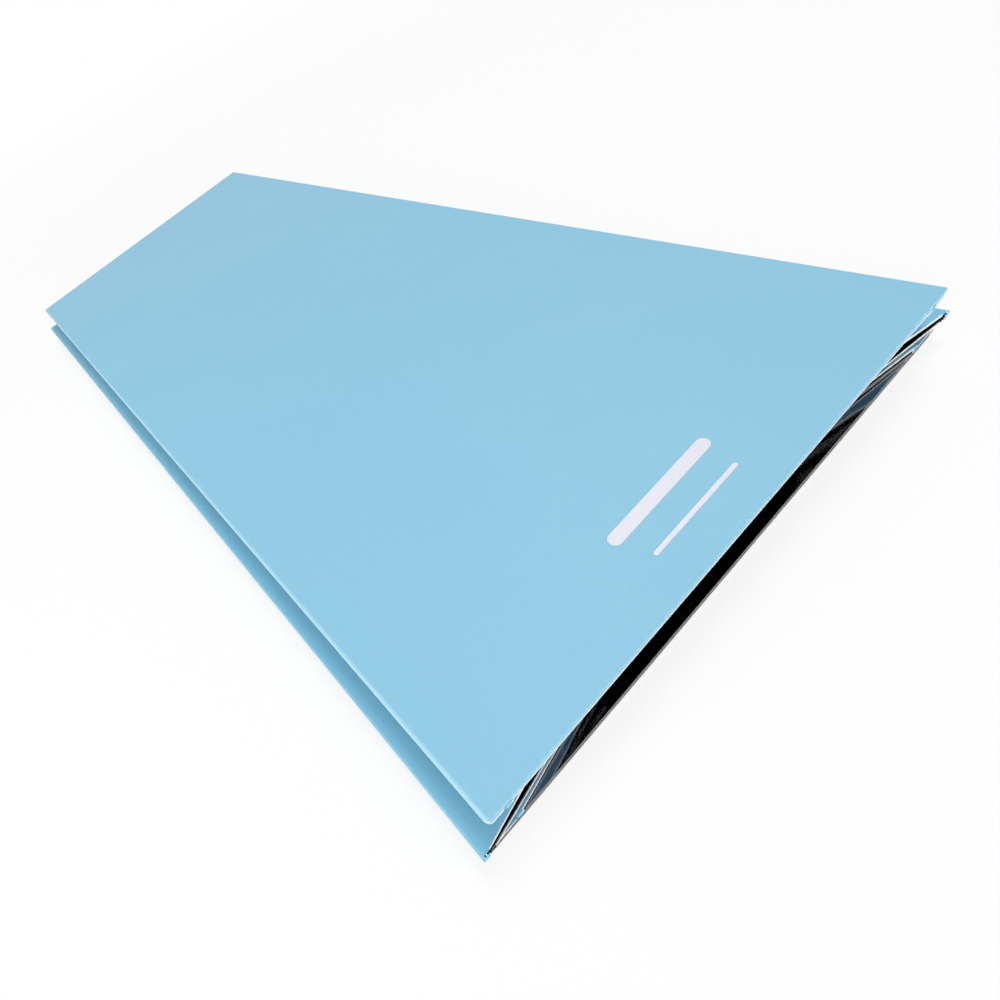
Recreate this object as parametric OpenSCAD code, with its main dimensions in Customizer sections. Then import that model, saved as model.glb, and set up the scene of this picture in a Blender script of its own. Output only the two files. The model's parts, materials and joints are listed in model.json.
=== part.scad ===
// Flat-folding UV sanitizer box for a phone: two stiff covered panels joined by two
// pleated side walls. The ends are open. The wall creases, the lamp strip and the
// control unit all lie inside the outline of the base panel when the box is folded.

/* [Panels] */
// Length of the panels
panel_l = 260; // [220:1:300]
// Width of the top panel
top_w = 104; // [96:1:130]
// Thickness of the outer covering on the panels
panel_skin = 0.5; // [0.4:0.1:0.8]
// Thickness of the stiff board in the panels
panel_board = 1.1; // [0.9:0.1:2]
// Thickness of the glossy lining on the panels
panel_lining = 0.3; // [0.2:0.1:0.5]
// Radius of the rounded panel corners
corner_r = 0.75; // [0.5:0.25:2]

/* [Pleated walls] */
// Distance of the creases on the panels from the long edge of the top panel
hinge_inset = 3.5; // [2.5:0.5:6]
// Width of the leaves that meet a panel, from crease to crease
short_leaf = 22; // [18:1:24]
// How far the outer crease stands out past the creases on the panels
crease_proud = 6.5; // [4:0.5:8]
// How far the outer crease reaches past each end of the panels
crease_out = 0.8; // [0:0.1:2]
// How much shorter than the panels the low inner crease is at each end
low_cut = 4; // [2:0.1:8]
// How much shorter than the panels the high inner crease is at each end
high_cut = 4.6; // [2:0.1:8]
// How much the leaf above the outer crease stands back from the leaf below it
high_back = 0.2; // [0:0.1:1]
// Thickness of the outer covering on a leaf
leaf_skin = 0.2; // [0.15:0.05:0.35]
// Thickness of the board in a leaf
leaf_board = 0.25; // [0.2:0.05:0.6]
// Thickness of the lining on a leaf
leaf_lining = 0.15; // [0.1:0.05:0.3]
// Gap between two leaves pressed flat
leaf_gap = 0.2; // [0.1:0.05:0.4]
// Running clearance around a crease
crease_clear = 0.2; // [0.1:0.05:0.4]
// Slope of the leaf on the base when the box is folded
low_slope = 0.1; // [0:0.1:1]
// Slope of the leaf under the top panel when the box is folded
high_slope = 4.4; // [3:0.1:6]

/* [Closing magnets] */
// Diameter of a magnet
magnet_d = 6; // [4:0.5:8]
// Thickness of a magnet
magnet_t = 0.8; // [0.6:0.1:0.9]
// Clearance around a magnet in the board
magnet_clear = 0.1; // [0.05:0.05:0.3]
// Distance of a magnet centre from the panel ends
magnet_end = 14; // [8:1:25]
// Distance of a magnet centre from the long edge of the top panel
magnet_inset = 12; // [8:1:16]

/* [Control unit] */
// Length of the housing
unit_l = 58; // [52:1:66]
// Width of the housing
unit_w = 32; // [30:1:40]
// Height of the housing with its back plate
unit_h = 5.4; // [5:0.1:6.5]
// Wall thickness of the housing
unit_wall = 1; // [0.8:0.1:1.4]
// Floor thickness of the housing
unit_floor = 0.8; // [0.6:0.1:1]
// Thickness of the back plate
plate_t = 0.8; // [0.6:0.1:1]
// Distance of the housing from the panel end
unit_inset = 1.6; // [1.2:0.1:4]
// Diameter of a housing screw thread
screw_d = 1.4; // [1.2:0.1:1.8]
// Diameter of a housing screw head
screw_head_d = 2.6; // [2.2:0.1:3]
// Height of a housing screw head
screw_head_h = 0.4; // [0.3:0.1:0.5]
// Diameter of a screw post
post_d = 3.4; // [3:0.1:4]
// Assembly clearance between small parts
fit = 0.1; // [0.05:0.05:0.2]

/* [Electronics] */
// Thickness of the circuit board
pcb_t = 0.8; // [0.6:0.1:1]
// Length of the circuit board
pcb_l = 17; // [15:1:22]
// Length of the battery
battery_l = 33; // [25:1:34]
// Width of the battery
battery_w = 22; // [16:1:22]
// Thickness of the battery
battery_t = 3; // [2:0.1:3.4]
// Width of the charging socket
socket_w = 8.9; // [8.5:0.1:9.2]
// Height of the charging socket
socket_h = 3.2; // [3:0.1:3.3]
// Depth of the charging socket
socket_l = 7.3; // [6.5:0.1:8]
// Sideways place of the charging socket
socket_y = -6.5; // [-7:0.5:-6]
// Sideways place of the power button
button_y = 6; // [5:0.5:7]
// Width of the power button
button_w = 7; // [5:0.5:8]
// Height of the power button
button_h = 2.4; // [2:0.1:2.8]
// How far the power button stands out
button_out = 0.8; // [0.6:0.1:1.1]
// Travel of the power button
button_travel = 0.4; // [0.3:0.05:0.5]
// Sideways place of the indicator
indicator_y = 0; // [-1:0.5:1]
// Diameter of the indicator lens
indicator_d = 1.6; // [1.2:0.1:2]

/* [Lamp strip] */
// Distance between the lamp frame and the far panel end
lamp_end = 38; // [30:1:60]
// Width of the lamp frame
lamp_w = 16; // [14:1:20]
// Height of the lamp frame
lamp_h = 2.4; // [2.2:0.1:2.6]
// Distance between the control unit and the lamp frame
lamp_gap = 6; // [4:1:12]
// Wall thickness of the lamp frame
frame_wall = 1; // [0.8:0.1:1.5]
// Thickness of the lamp board
lamp_board_t = 0.8; // [0.6:0.1:1]
// Side length of one lamp
lamp_size = 3.5; // [3:0.1:4]
// Height of one lamp
lamp_body_h = 0.7; // [0.5:0.1:0.8]
// Number of lamps in the strip
lamp_count = 6; // [4:1:8]
// Thickness of the clear window
window_t = 0.5; // [0.4:0.1:0.6]
// Width of the lip that keeps the window in
lip_w = 0.6; // [0.4:0.1:0.8]
// Thickness of the lip that keeps the window in
lip_t = 0.3; // [0.2:0.1:0.4]
// Width of the flat lamp cable
cable_w = 5; // [4:0.5:7]
// Thickness of the flat lamp cable
cable_t = 0.3; // [0.2:0.1:0.4]

/* [Hidden] */
$fn = 48;
// panels
panel_t = panel_skin + panel_board + panel_lining;
edge_r = panel_t / 2;
// leaves and creases
leaf_t = leaf_skin + leaf_board + leaf_lining;
pitch_t = leaf_t + leaf_gap;
fold_r = leaf_t + leaf_gap / 2;
groove_r = fold_r + crease_clear;
stop_short = fold_r + 0.05;
long_leaf = short_leaf + crease_proud;
hinge_y = top_w / 2 - hinge_inset;
base_w = 2 * (hinge_y + crease_proud + fold_r);
// half lengths of the leaves at their outer and at their inner crease
ends_4 = [panel_l / 2, panel_l / 2 - low_cut];
ends_3 = [panel_l / 2 + crease_out, panel_l / 2 - low_cut];
ends_2 = [panel_l / 2 + crease_out - high_back, panel_l / 2 - high_cut];
ends_1 = [panel_l / 2, panel_l / 2 - high_cut];
hinge_z = panel_t + leaf_gap / 2;
// slopes of the two long leaves, which keep the top panel level while the walls unfold
function reach(w) = sqrt(w * w + pitch_t * pitch_t);
short_half = (high_slope - low_slope) / 2;
long_half = asin(reach(short_leaf) * sin(short_half) / reach(long_leaf));
long_mean = (high_slope + low_slope) / 2 + atan2(pitch_t, short_leaf) - atan2(pitch_t, long_leaf);
slope_4 = low_slope;
slope_3 = long_mean - long_half;
slope_2 = long_mean + long_half;
slope_1 = high_slope;
// places of the creases on the left wall, from the base up
function leaf_rise(w, a) = w * sin(a) + pitch_t * cos(a);
function leaf_run(w, a) = w * cos(a) - pitch_t * sin(a);
low_inner_y = hinge_y - leaf_run(short_leaf, slope_4);
outer_y = low_inner_y + leaf_run(long_leaf, slope_3);
high_inner_y = outer_y - leaf_run(long_leaf, slope_2);
low_inner_z = hinge_z + leaf_rise(short_leaf, slope_4);
outer_z = low_inner_z + leaf_rise(long_leaf, slope_3);
high_inner_z = outer_z + leaf_rise(long_leaf, slope_2);
top_hinge_z = high_inner_z + leaf_rise(short_leaf, slope_1);
// underside and upper face of the top panel
ceiling_z = top_hinge_z + leaf_gap / 2;
total_h = ceiling_z + panel_t;
magnet_x = panel_l / 2 - magnet_end;
magnet_y = top_w / 2 - magnet_inset;
through = 1;
// control unit, measured from its outer end wall
unit_x = -panel_l / 2 + unit_inset;
unit_z = ceiling_z - unit_h;
inside_h = unit_h - unit_floor - plate_t;
plate_z = ceiling_z - plate_t;
inside_z = unit_z + unit_floor;
mid_z = inside_z + inside_h / 2;
post_x = unit_wall + post_d / 2;
post_y = unit_w / 2 - unit_wall - post_d / 2;
post_h = inside_h - fit;
pcb_x = unit_x + unit_wall + fit;
pcb_w = 2 * (post_y - post_d / 2 - fit);
pcb_z = mid_z - pcb_t / 2;
battery_x = unit_x + unit_l - unit_wall - fit - battery_l;
button_flange = 0.6;
button_lip = 0.6;
switch_l = 3;
switch_w = 4.6;
switch_h = 1.6;
sensor_size = 2.2;
sensor_h = 0.9;
chip_size = 4;
chip_h = 0.9;
led_size = 1.6;
led_h = 0.8;
rib_w = 1.2;
rib_x = pcb_x + pcb_l - 2 * rib_w;
lead_d = 0.8;
lead_y = 7;
lead_lap = 2;
// lamp strip
lamp_x = unit_x + unit_l + lamp_gap;
lamp_l = panel_l / 2 - lamp_end - lamp_x;
lamp_z = ceiling_z - lamp_h;
window_l = lamp_l - 2 * frame_wall;
window_w = lamp_w - 2 * frame_wall;
window_z = lamp_z + lip_t;
strip_l = window_l - 2 * fit;
strip_w = window_w - 2 * fit;
lamp_pitch = window_l / lamp_count;
cable_lap = 4;
cable_x = unit_x + unit_l - unit_wall - cable_lap;
cable_z = ceiling_z - max(plate_t, lamp_board_t) - fit - cable_t;
cable_l = lamp_x + frame_wall + cable_lap - cable_x;

skin_colour = [0.58, 0.80, 0.90];
board_colour = [0.93, 0.92, 0.89];
lining_colour = [0.09, 0.08, 0.09];
case_colour = [0.16, 0.16, 0.18];

// a flat rectangle with round corners, centred
module round_rect(l, w, r) {
    square([l - 2 * r, w], center = true);
    square([l, w - 2 * r], center = true);
    for (sx = [-1, 1], sy = [-1, 1])
        translate([sx * (l / 2 - r), sy * (w / 2 - r)])
            circle(r);
}

// a rod along the length of the box
module long_rod(y, z, r, l = panel_l) {
    translate([-l / 2, y, z])
        rotate([0, 90, 0])
            cylinder(r = r, h = l);
}

// both grooves that the creases of the walls turn in, seen from the inner face
module crease_grooves(z) {
    for (side = [-1, 1])
        long_rod(side * hinge_y, z, groove_r, panel_l + 2 * through);
}

// the outline of a panel, cut with round corners
module panel_outline(w) {
    translate([0, 0, -through])
        linear_extrude(total_h + 2 * through)
            round_rect(panel_l, w, corner_r);
}

// The panel layers are drawn with the outer face at z = 0 and the inner face up. The
// covering is turned in along the long edges. At the ends it is cut flush with the board
// or folded over it.
module panel_skin_shape(w, folded) {
    margin = w / 2 - hinge_y;
    difference() {
        intersection() {
            union() {
                translate([-panel_l / 2, -w / 2 + edge_r, 0])
                    cube([panel_l, w - 2 * edge_r, panel_skin]);
                if (folded)
                    for (side = [0, 1])
                        mirror([side, 0, 0])
                            translate([panel_l / 2 - panel_skin, -w / 2 + edge_r, 0])
                                cube([panel_skin, w - 2 * edge_r, panel_t - panel_lining]);
                for (side = [-1, 1])
                    long_rod(side * (w / 2 - edge_r), edge_r, edge_r);
                for (side = [0, 1])
                    mirror([0, side, 0])
                        translate([-panel_l / 2, w / 2 - margin, panel_t - panel_lining])
                            cube([panel_l, margin - edge_r, panel_lining]);
            }
            panel_outline(w);
        }
        crease_grooves(hinge_z);
    }
}

module panel_board_shape(w, folded) {
    board_l = panel_l - (folded ? 2 * panel_skin : 0);
    board_w = w - 4 * edge_r;
    difference() {
        translate([-board_l / 2, -board_w / 2, panel_skin])
            cube([board_l, board_w, panel_board]);
        crease_grooves(hinge_z);
        for (sx = [-1, 1], sy = [-1, 1])
            translate([sx * magnet_x, sy * magnet_y, panel_skin])
                cylinder(d = magnet_d + 2 * magnet_clear, h = panel_board + through);
    }
}

module panel_lining_shape() {
    lining_w = 2 * (hinge_y - groove_r);
    translate([-panel_l / 2, -lining_w / 2, panel_t - panel_lining])
        cube([panel_l, lining_w, panel_lining]);
}

module magnet_set() {
    for (sx = [-1, 1], sy = [-1, 1])
        translate([sx * magnet_x, sy * magnet_y, panel_skin])
            cylinder(d = magnet_d, h = magnet_t);
}

// puts a panel upside down on top of the folded box
module as_top() {
    translate([0, 0, total_h])
        mirror([0, 0, 1])
            children();
}

module base_skin() {
    color(skin_colour)
        panel_skin_shape(base_w, false);
}

module base_board() {
    color(board_colour)
        panel_board_shape(base_w, false);
}

module base_lining() {
    color(lining_colour)
        panel_lining_shape();
}

module base_magnets() {
    color("silver")
        magnet_set();
}

module top_skin() {
    color(skin_colour)
        as_top() panel_skin_shape(top_w, true);
}

module top_board() {
    color(board_colour)
        as_top() panel_board_shape(top_w, true);
}

module top_lining() {
    color(lining_colour)
        as_top() panel_lining_shape();
}

module top_magnets() {
    color("silver")
        as_top() magnet_set();
}

// One layer of a leaf, with its lower crease on the origin and its width along +y. The
// lower layer runs into the roll of the upper crease, and the upper layer into the roll
// of the lower crease where the leaf carries that roll too. The ends are cut back
// towards the inner crease, which is the upper one on a leaf that climbs inward.
module leaf_layer(w, ends, inward, z, t, lower_roll, upper_roll, carries_lower) {
    start = carries_lower ? (lower_roll ? 0 : stop_short) : groove_r;
    end = upper_roll ? w : w - stop_short;
    function half(y) = ends[0] + (ends[1] - ends[0]) * (inward ? y / w : 1 - y / w);
    translate([0, 0, leaf_gap / 2 + z])
        linear_extrude(t)
            polygon([
                [-half(start), start], [half(start), start],
                [half(end), end], [-half(end), end]
            ]);
    if (lower_roll && carries_lower)
        long_rod(0, 0, fold_r, 2 * half(0));
    if (upper_roll)
        long_rod(w, pitch_t, fold_r, 2 * half(w));
}

// a leaf that climbs inward has its lining underneath, one that climbs outward its skin
module skin_layer(w, ends, inward, carries_lower) {
    z = inward ? leaf_t - leaf_skin : 0;
    color(skin_colour)
        leaf_layer(w, ends, inward, z, leaf_skin, inward, !inward, carries_lower);
}

module board_layer(w, ends, inward, carries_lower) {
    z = inward ? leaf_lining : leaf_skin;
    color(board_colour)
        leaf_layer(w, ends, inward, z, leaf_board, false, false, carries_lower);
}

module lining_layer(w, ends, inward, carries_lower) {
    z = inward ? 0 : leaf_t - leaf_lining;
    color(lining_colour)
        leaf_layer(w, ends, inward, z, leaf_lining, false, inward, carries_lower);
}

// places a leaf of the left wall at its lower crease; side 1 mirrors it to the right wall
module leaf_place(side, y, z, slope, inward) {
    mirror([0, side, 0])
        translate([0, -y, z])
            mirror([0, inward ? 0 : 1, 0])
                rotate([slope, 0, 0])
                    children();
}

module leaf_4(side) {
    leaf_place(side, hinge_y, hinge_z, slope_4, true) children();
}

module leaf_3(side) {
    leaf_place(side, low_inner_y, low_inner_z, slope_3, false) children();
}

module leaf_2(side) {
    leaf_place(side, outer_y, outer_z, slope_2, true) children();
}

module leaf_1(side) {
    leaf_place(side, high_inner_y, high_inner_z, slope_1, false) children();
}

module left_leaf_4_skin() { leaf_4(0) skin_layer(short_leaf, ends_4, true, true); }
module left_leaf_4_board() { leaf_4(0) board_layer(short_leaf, ends_4, true, true); }
module left_leaf_4_lining() { leaf_4(0) lining_layer(short_leaf, ends_4, true, true); }
module left_leaf_3_skin() { leaf_3(0) skin_layer(long_leaf, ends_3, false, false); }
module left_leaf_3_board() { leaf_3(0) board_layer(long_leaf, ends_3, false, false); }
module left_leaf_3_lining() { leaf_3(0) lining_layer(long_leaf, ends_3, false, false); }
module left_leaf_2_skin() { leaf_2(0) skin_layer(long_leaf, ends_2, true, false); }
module left_leaf_2_board() { leaf_2(0) board_layer(long_leaf, ends_2, true, false); }
module left_leaf_2_lining() { leaf_2(0) lining_layer(long_leaf, ends_2, true, false); }
module left_leaf_1_skin() { leaf_1(0) skin_layer(short_leaf, ends_1, false, false); }
module left_leaf_1_board() { leaf_1(0) board_layer(short_leaf, ends_1, false, false); }
module left_leaf_1_lining() { leaf_1(0) lining_layer(short_leaf, ends_1, false, false); }
module right_leaf_4_skin() { leaf_4(1) skin_layer(short_leaf, ends_4, true, true); }
module right_leaf_4_board() { leaf_4(1) board_layer(short_leaf, ends_4, true, true); }
module right_leaf_4_lining() { leaf_4(1) lining_layer(short_leaf, ends_4, true, true); }
module right_leaf_3_skin() { leaf_3(1) skin_layer(long_leaf, ends_3, false, false); }
module right_leaf_3_board() { leaf_3(1) board_layer(long_leaf, ends_3, false, false); }
module right_leaf_3_lining() { leaf_3(1) lining_layer(long_leaf, ends_3, false, false); }
module right_leaf_2_skin() { leaf_2(1) skin_layer(long_leaf, ends_2, true, false); }
module right_leaf_2_board() { leaf_2(1) board_layer(long_leaf, ends_2, true, false); }
module right_leaf_2_lining() { leaf_2(1) lining_layer(long_leaf, ends_2, true, false); }
module right_leaf_1_skin() { leaf_1(1) skin_layer(short_leaf, ends_1, false, false); }
module right_leaf_1_board() { leaf_1(1) board_layer(short_leaf, ends_1, false, false); }
module right_leaf_1_lining() { leaf_1(1) lining_layer(short_leaf, ends_1, false, false); }

// the four screw places of the control unit
module at_posts() {
    for (x = [post_x, unit_l - post_x], y = [-post_y, post_y])
        translate([unit_x + x, y, 0])
            children();
}

// the flat plate that the housing is screwed to, bonded to the lining of the top panel
module unit_back_plate() {
    color(case_colour)
        difference() {
            translate([unit_x, -unit_w / 2, plate_z])
                cube([unit_l, unit_w, plate_t]);
            at_posts()
                translate([0, 0, plate_z - through])
                    cylinder(d = screw_d, h = plate_t + 2 * through);
        }
}

// the tray around the electronics, open towards the back plate
module unit_housing() {
    color(case_colour)
        difference() {
            union() {
                difference() {
                    translate([unit_x, -unit_w / 2, unit_z])
                        cube([unit_l, unit_w, unit_h - plate_t]);
                    translate([unit_x + unit_wall, -unit_w / 2 + unit_wall, inside_z])
                        cube([unit_l - 2 * unit_wall, unit_w - 2 * unit_wall, inside_h + through]);
                }
                at_posts()
                    translate([0, 0, unit_z])
                        cylinder(d = post_d, h = unit_floor + post_h);
                for (y = [-pcb_w / 4, pcb_w / 4])
                    translate([rib_x, y - rib_w / 2, inside_z])
                        cube([rib_w, rib_w, pcb_z - inside_z]);
            }
            at_posts()
                translate([0, 0, unit_z - through])
                    cylinder(d = screw_d + 2 * fit, h = unit_h + through);
            at_posts()
                translate([0, 0, unit_z - through])
                    cylinder(d = screw_head_d + 2 * fit, h = screw_head_h + through);
            translate([unit_x - through, socket_y, mid_z])
                end_slot(socket_w + 2 * fit, socket_h + 2 * fit, unit_wall + 2 * through);
            translate([unit_x - through, button_y, mid_z])
                end_slot(button_w + 2 * fit, button_h + 2 * fit, unit_wall + 2 * through);
            translate([unit_x - through, indicator_y, mid_z])
                rotate([0, 90, 0])
                    cylinder(d = indicator_d + 2 * fit, h = unit_wall + 2 * through);
            cable_slot(unit_x + unit_l - unit_wall, unit_wall);
        }
}

// the notch for the flat cable through a wall that starts at x
module cable_slot(x, wall) {
    translate([x - through, -cable_w / 2 - fit, cable_z - fit])
        cube([wall + 2 * through, cable_w + 2 * fit, lamp_h]);
}

// a slot with round ends that runs into the end wall
module end_slot(w, h, depth) {
    rotate([0, 90, 0])
        linear_extrude(depth) {
            square([h, w - h], center = true);
            for (side = [-1, 1])
                translate([0, side * (w - h) / 2])
                    circle(d = h);
        }
}

module unit_screws() {
    color("silver")
        at_posts() {
            difference() {
                translate([0, 0, unit_z])
                    cylinder(d = screw_head_d, h = screw_head_h);
                translate([-screw_head_d / 2, -screw_d / 8, unit_z - through])
                    cube([screw_head_d, screw_d / 4, screw_head_h / 2 + through]);
            }
            translate([0, 0, unit_z + screw_head_h])
                cylinder(d = screw_d, h = unit_h - screw_head_h);
        }
}

module circuit_board() {
    color("seagreen")
        difference() {
            translate([pcb_x, -pcb_w / 2, pcb_z])
                cube([pcb_l, pcb_w, pcb_t]);
            translate([pcb_x - through, socket_y - socket_w / 2 - fit, pcb_z - through])
                cube([socket_l - unit_wall + fit + through, socket_w + 2 * fit, pcb_t + 2 * through]);
            translate([pcb_x - through, button_y - button_w / 2 - button_lip - fit, pcb_z - through])
                cube([button_flange + button_travel + 2 * fit + through,
                      button_w + 2 * button_lip + 2 * fit, pcb_t + 2 * through]);
        }
}

module battery() {
    color("gainsboro")
        translate([battery_x, -battery_w / 2, inside_z + fit])
            cube([battery_l, battery_w, battery_t]);
}

// the two wires from the battery, soldered on top of the circuit board
module battery_leads() {
    color("firebrick")
        for (i = [0, 1])
            translate([pcb_x + pcb_l - lead_lap, lead_y + 2 * i * lead_d, pcb_z + pcb_t + lead_d / 2])
                rotate([0, 90, 0])
                    cylinder(d = lead_d, h = battery_x - pcb_x - pcb_l + lead_lap);
}

// a flat steel shell with round sides, open to the end, with a tongue inside
module charging_socket() {
    shell_t = 0.3;
    tongue_t = 0.7;
    tongue_w = 6.7;
    color("silver")
        translate([unit_x, socket_y, mid_z]) {
            difference() {
                end_slot(socket_w, socket_h, socket_l);
                translate([-through, 0, 0])
                    end_slot(socket_w - 2 * shell_t, socket_h - 2 * shell_t, socket_l - shell_t + through);
            }
            translate([shell_t, -tongue_w / 2, -tongue_t / 2])
                cube([socket_l - shell_t, tongue_w, tongue_t]);
        }
}

// the push switch on the board, right behind the button
module power_switch() {
    switch_x = unit_x + unit_wall + button_flange + button_travel + 2 * fit;
    color([0.3, 0.3, 0.32])
        translate([switch_x, button_y, 0])
            translate([0, -switch_w / 2, pcb_z + pcb_t])
                cube([switch_l, switch_w, min(switch_h, plate_z - pcb_z - pcb_t - fit)]);
}

// the button face with round ends, and a flange behind the wall that keeps it in
module power_button() {
    stem_l = button_out + unit_wall + fit;
    flange_x = unit_x + unit_wall + fit;
    color([0.75, 0.77, 0.8]) {
        translate([unit_x - button_out, button_y, mid_z])
            end_slot(button_w, button_h, stem_l);
        translate([flange_x, button_y - button_w / 2 - button_lip, mid_z - button_h / 2])
            cube([button_flange, button_w + 2 * button_lip, button_h]);
    }
}

// a small magnetic sensor under the board, which tells whether the box is folded
module fold_sensor() {
    color([0.12, 0.12, 0.13])
        translate([pcb_x + pcb_l / 2, socket_y - sensor_size / 2, pcb_z - sensor_h])
            cube([sensor_size, sensor_size, sensor_h]);
}

module control_chip() {
    color([0.12, 0.12, 0.13])
        translate([pcb_x + pcb_l - chip_size - sensor_size, -chip_size / 2, pcb_z + pcb_t])
            cube([chip_size, chip_size, chip_h]);
}

module indicator_led() {
    color("ivory")
        translate([pcb_x + fit + led_size / 2, indicator_y - led_size / 2, pcb_z + pcb_t])
            cube([led_size, led_size, led_h]);
}

// a short clear rod that carries the light of the small lamp to the end wall
module indicator_lens() {
    color("white")
        translate([unit_x, indicator_y, mid_z])
            rotate([0, 90, 0])
                cylinder(d = indicator_d, h = unit_wall);
}

// flat cable from the control unit to the lamp strip
module lamp_cable() {
    color("orange")
        translate([cable_x, -cable_w / 2, cable_z])
            cube([cable_l, cable_w, cable_t]);
}

module lamp_board() {
    color("white")
        translate([lamp_x + frame_wall + fit, -strip_w / 2, ceiling_z - lamp_board_t])
            cube([strip_l, strip_w, lamp_board_t]);
}

module uv_lamps() {
    color([0.9, 0.85, 0.6])
        for (i = [0 : lamp_count - 1])
            translate([lamp_x + frame_wall + (i + 0.5) * lamp_pitch, 0, ceiling_z - lamp_board_t - lamp_body_h / 2])
                cube([lamp_size, lamp_size, lamp_body_h], center = true);
}

module lamp_window() {
    color([0.7, 0.75, 0.85])
        translate([lamp_x + frame_wall + fit, -strip_w / 2, window_z])
            cube([strip_l, strip_w, window_t]);
}

// the black frame around the lamps, with a thin lip under the clear window
module lamp_frame() {
    color(case_colour)
        difference() {
            translate([lamp_x, -lamp_w / 2, lamp_z])
                cube([lamp_l, lamp_w, lamp_h]);
            translate([lamp_x + frame_wall, -window_w / 2, window_z])
                cube([window_l, window_w, lamp_h]);
            translate([lamp_x + frame_wall + lip_w, -window_w / 2 + lip_w, lamp_z - through])
                cube([window_l - 2 * lip_w, window_w - 2 * lip_w, lamp_h]);
            cable_slot(lamp_x, frame_wall);
        }
}

base_skin();
base_board();
base_lining();
base_magnets();
left_leaf_4_skin();
left_leaf_4_board();
left_leaf_4_lining();
left_leaf_3_skin();
left_leaf_3_board();
left_leaf_3_lining();
left_leaf_2_skin();
left_leaf_2_board();
left_leaf_2_lining();
left_leaf_1_skin();
left_leaf_1_board();
left_leaf_1_lining();
right_leaf_4_skin();
right_leaf_4_board();
right_leaf_4_lining();
right_leaf_3_skin();
right_leaf_3_board();
right_leaf_3_lining();
right_leaf_2_skin();
right_leaf_2_board();
right_leaf_2_lining();
right_leaf_1_skin();
right_leaf_1_board();
right_leaf_1_lining();
top_skin();
top_board();
top_lining();
top_magnets();
unit_back_plate();
unit_housing();
unit_screws();
circuit_board();
battery();
battery_leads();
charging_socket();
power_switch();
power_button();
fold_sensor();
control_chip();
indicator_led();
indicator_lens();
lamp_cable();
lamp_board();
uv_lamps();
lamp_window();
lamp_frame();
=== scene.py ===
import json
import math

import bmesh
import bpy
from mathutils import Matrix, Vector


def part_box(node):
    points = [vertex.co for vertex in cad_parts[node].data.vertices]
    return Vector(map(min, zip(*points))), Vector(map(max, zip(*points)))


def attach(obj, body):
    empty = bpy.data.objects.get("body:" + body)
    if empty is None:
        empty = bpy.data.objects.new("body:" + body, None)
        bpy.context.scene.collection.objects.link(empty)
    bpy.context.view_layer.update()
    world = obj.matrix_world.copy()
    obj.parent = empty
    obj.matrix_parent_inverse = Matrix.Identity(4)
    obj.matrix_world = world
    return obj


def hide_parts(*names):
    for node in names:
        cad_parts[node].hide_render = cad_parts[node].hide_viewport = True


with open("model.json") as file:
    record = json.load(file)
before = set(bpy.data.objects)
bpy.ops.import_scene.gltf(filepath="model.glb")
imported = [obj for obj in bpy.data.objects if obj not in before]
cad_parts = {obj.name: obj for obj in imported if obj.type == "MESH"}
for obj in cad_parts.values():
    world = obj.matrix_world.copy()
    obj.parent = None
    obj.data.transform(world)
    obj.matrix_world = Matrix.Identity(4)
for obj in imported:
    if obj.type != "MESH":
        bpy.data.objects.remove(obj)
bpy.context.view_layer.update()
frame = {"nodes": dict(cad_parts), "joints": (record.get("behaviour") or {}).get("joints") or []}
nodes = frame["nodes"]
MM = 0.001

# The view. A wide lens stands close above the open end of the folded box and is tipped
# sideways, so the panel fans out from its far short edge towards the near one. Its place
# and angles were fitted to the corners of the panels in the photo.
azimuth, elevation, tip = (math.radians(a) for a in (73.39, 48.44, -31.29))
camera_place = Vector((147.2, -45.9, 82.6)) * MM
sensor_width, lens_length = 36, 19.55
lens_shift = (0.0965, 0.0110)
nearest, farthest = 0.002, 20
back = Vector((
    math.sin(azimuth) * math.cos(elevation),
    -math.cos(azimuth) * math.cos(elevation),
    math.sin(elevation),
))
level_right = Vector((math.cos(azimuth), math.sin(azimuth), 0))
level_up = back.cross(level_right)
right = level_right * math.cos(tip) + level_up * math.sin(tip)
up = level_up * math.cos(tip) - level_right * math.sin(tip)
lens = bpy.data.cameras.new("view")
lens.sensor_width = sensor_width
lens.lens = lens_length
lens.shift_x, lens.shift_y = lens_shift
lens.clip_start, lens.clip_end = nearest, farthest
camera = bpy.data.objects.new("view", lens)
camera.matrix_world = (
    Matrix.Translation(camera_place) @ Matrix((right, up, back)).transposed().to_4x4()
)
bpy.context.scene.collection.objects.link(camera)
bpy.context.scene.camera = camera
bpy.context.scene.view_settings.view_transform = "Standard"


# The room is white to the camera. Matt surfaces are lit by a dome that is dim at the
# horizon, bright overhead and brighter on the right wall's side than on the left one's.
# Mirroring surfaces see a white horizon under a dark ceiling.
def add_node(tree, kind, inputs=None, **settings):
    """Adds a node, sets its options, and links or sets its inputs."""
    made = tree.nodes.new(kind)
    for name, value in settings.items():
        setattr(made, name, value)
    for name, value in (inputs or {}).items():
        if isinstance(value, bpy.types.NodeSocket):
            tree.links.new(value, made.inputs[name])
        else:
            made.inputs[name].default_value = value
    return made


def math_node(tree, operation, *values):
    """One sum, whose values are numbers or sockets."""
    made = add_node(tree, "ShaderNodeMath", dict(enumerate(values)), operation=operation)
    return made.outputs[0]


horizon_light, overhead_light = 0.06, 0.62
ceiling_starts, ceiling_full, ceiling_light = 0.35, 0.8, 0.12

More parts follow.
